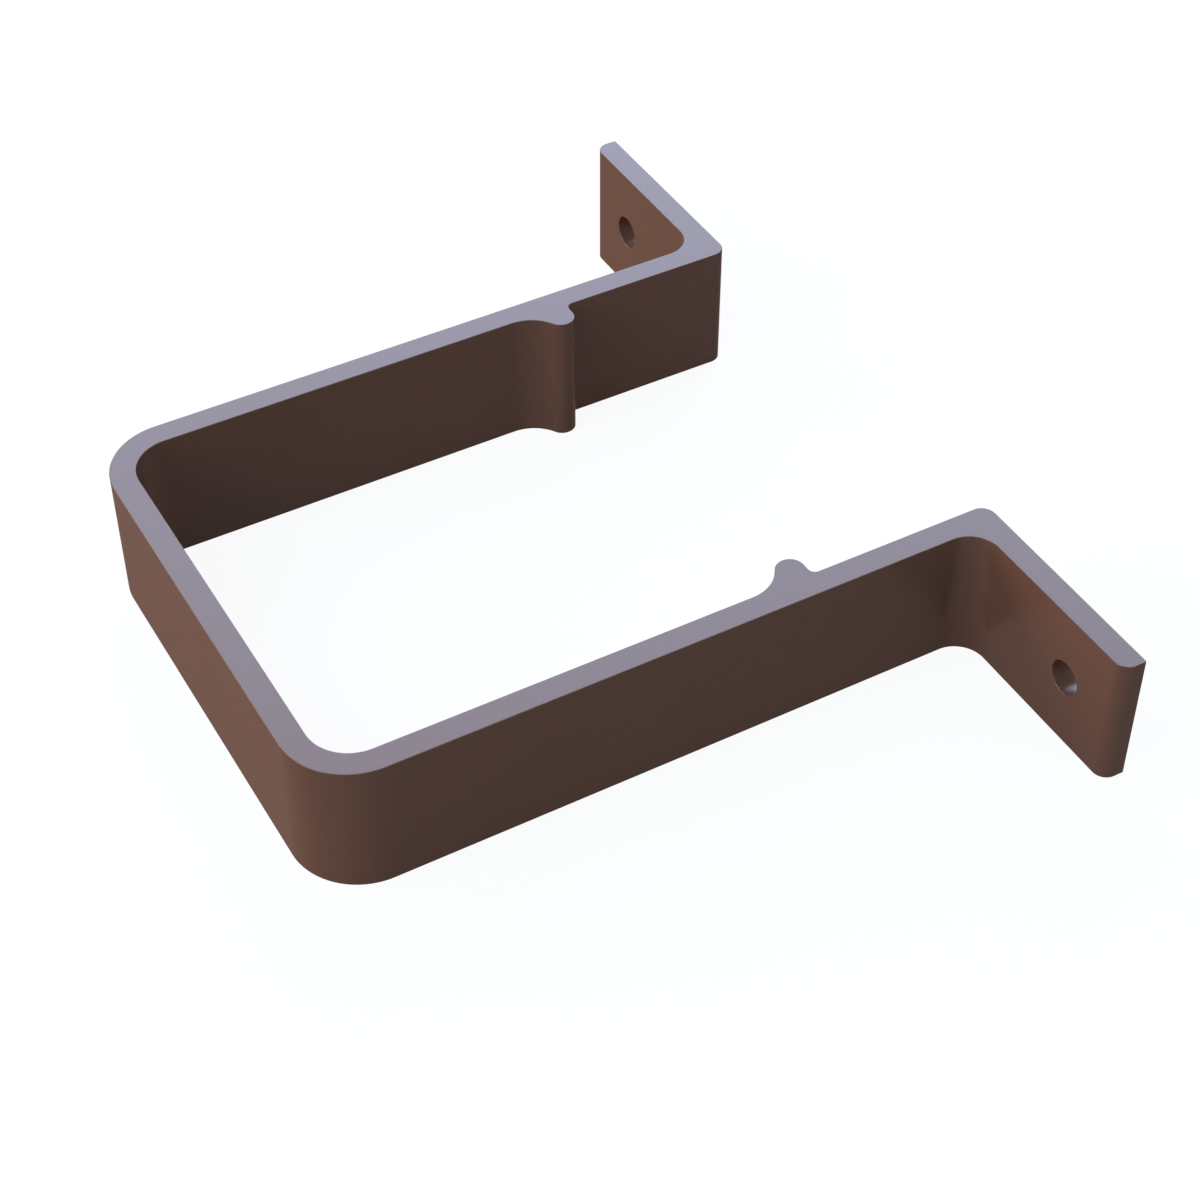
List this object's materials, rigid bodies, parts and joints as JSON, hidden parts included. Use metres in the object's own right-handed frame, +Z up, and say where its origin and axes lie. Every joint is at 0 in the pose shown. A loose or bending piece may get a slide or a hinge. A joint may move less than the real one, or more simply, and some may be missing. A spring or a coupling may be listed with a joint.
{
  "type": "downpipe clip",
  "caption": "U-shaped plastic clip that holds a square downpipe off a wall, with a drilled fixing flange on each arm and retaining nibs inside the arms.",
  "frame": {"origin": "midway between the two fixing holes, on the wall's face", "axes": "+X along the wall, +Y into the wall, +Z up the pipe"},
  "size_m": [0.1322, 0.0987, 0.02],
  "materials": {
    "brown_plastic": "smooth semi-gloss brown moulding, coloured through"
  },
  "bodies": {
    "root": {"clip": "brown_plastic"}
  },
  "joints": []
}
